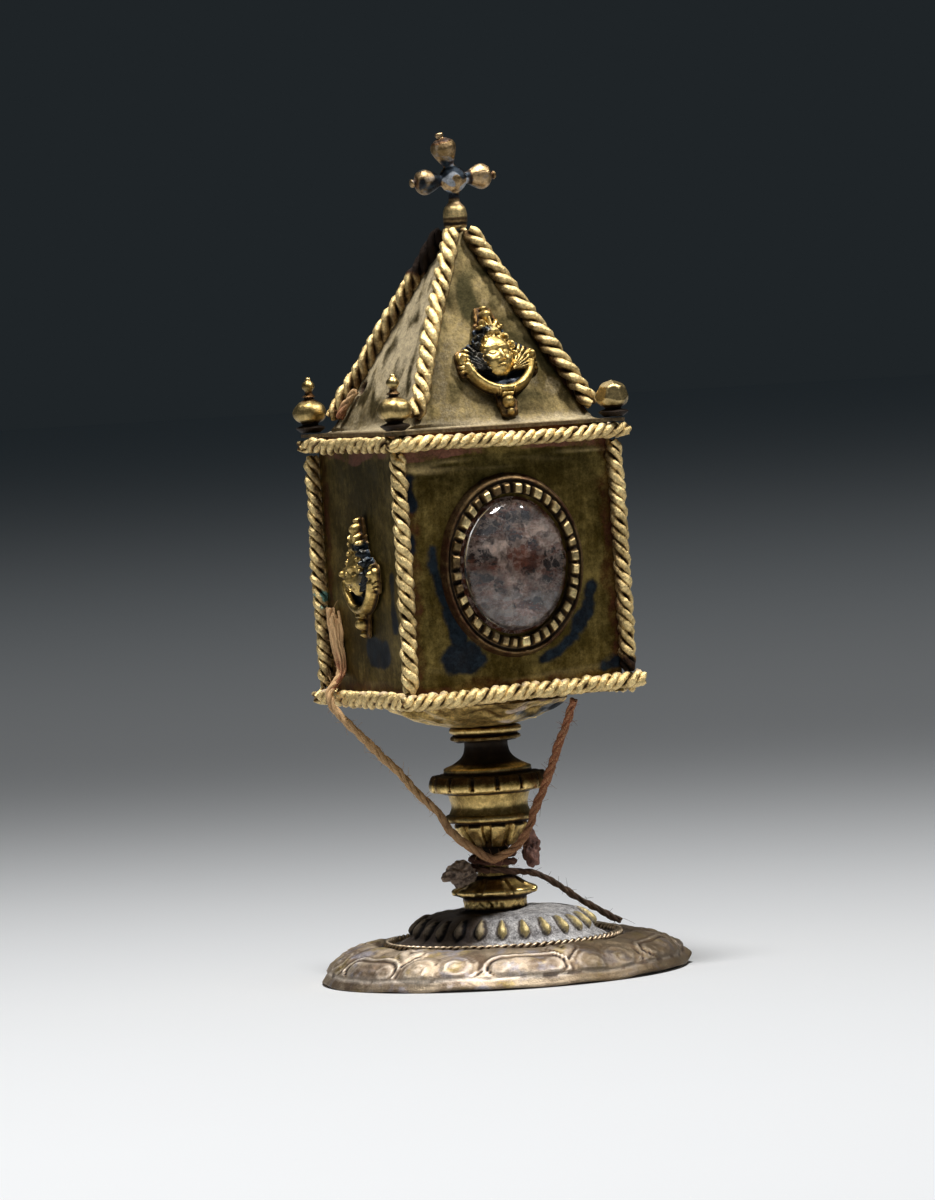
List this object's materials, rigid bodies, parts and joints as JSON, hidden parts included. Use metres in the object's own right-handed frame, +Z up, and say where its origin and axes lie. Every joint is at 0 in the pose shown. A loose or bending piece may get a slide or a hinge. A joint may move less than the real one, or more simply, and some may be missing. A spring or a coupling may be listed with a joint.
{
  "type": "reliquary casket",
  "caption": "Tower-shaped gilt reliquary casket with cable mouldings, pyramid lid, oval crystal window and round stemmed foot.",
  "frame": {"origin": "middle of the foot's underside, on the surface it stands on", "axes": "+Z up along the stem, the crystal window faces -Y"},
  "size_m": [0.064, 0.064, 0.1465],
  "materials": {
    "gilt_sheet": "worn matt gilding on copper sheet",
    "gilt_cable": "bright rubbed gilding",
    "cast_gilt": "rubbed gilding with dark patina in the hollows",
    "foot_bronze": "worn gilding, brown and grey patina",
    "crystal": "polished cabochon",
    "string": "two-ply linen string, matt",
    "wax": "brittle old sealing wax"
  },
  "bodies": {
    "root": {"bezel": "cast_gilt", "bottom_cable_back": "gilt_cable", "bottom_cable_front": "gilt_cable", "bottom_cable_left": "gilt_cable", "bottom_cable_right": "gilt_cable", "calyx_dish": "cast_gilt", "casket_floor": "gilt_sheet", "casket_wall_back": "gilt_sheet", "casket_wall_front": "gilt_sheet", "casket_wall_left": "gilt_sheet", "casket_wall_right": "gilt_sheet", "cherub_left": "cast_gilt", "cherub_right": "cast_gilt", "cherub_roof": "cast_gilt", "corner_cable_back_left": "gilt_cable", "corner_cable_back_right": "gilt_cable", "corner_cable_front_left": "gilt_cable", "corner_cable_front_right": "gilt_cable", "cross": "cast_gilt", "crystal": "crystal", "finial_back_left": "cast_gilt", "finial_back_right": "cast_gilt", "finial_front_left": "cast_gilt", "finial_front_right": "cast_gilt", "foot": "foot_bronze", "foot_cable_ring": "foot_bronze", "hip_cable_back_left": "gilt_cable", "hip_cable_back_right": "gilt_cable", "hip_cable_front_left": "gilt_cable", "hip_cable_front_right": "gilt_cable", "roof": "gilt_sheet", "stem_capital": "cast_gilt", "stem_collar": "cast_gilt", "stem_knop": "cast_gilt", "string_roof_stitch": "string", "string_sling": "string", "string_tail": "string", "string_wraps": "string", "top_cable_back": "gilt_cable", "top_cable_front": "gilt_cable", "top_cable_left": "gilt_cable", "top_cable_right": "gilt_cable", "wax_left": "wax", "wax_right": "wax"}
  },
  "joints": []
}
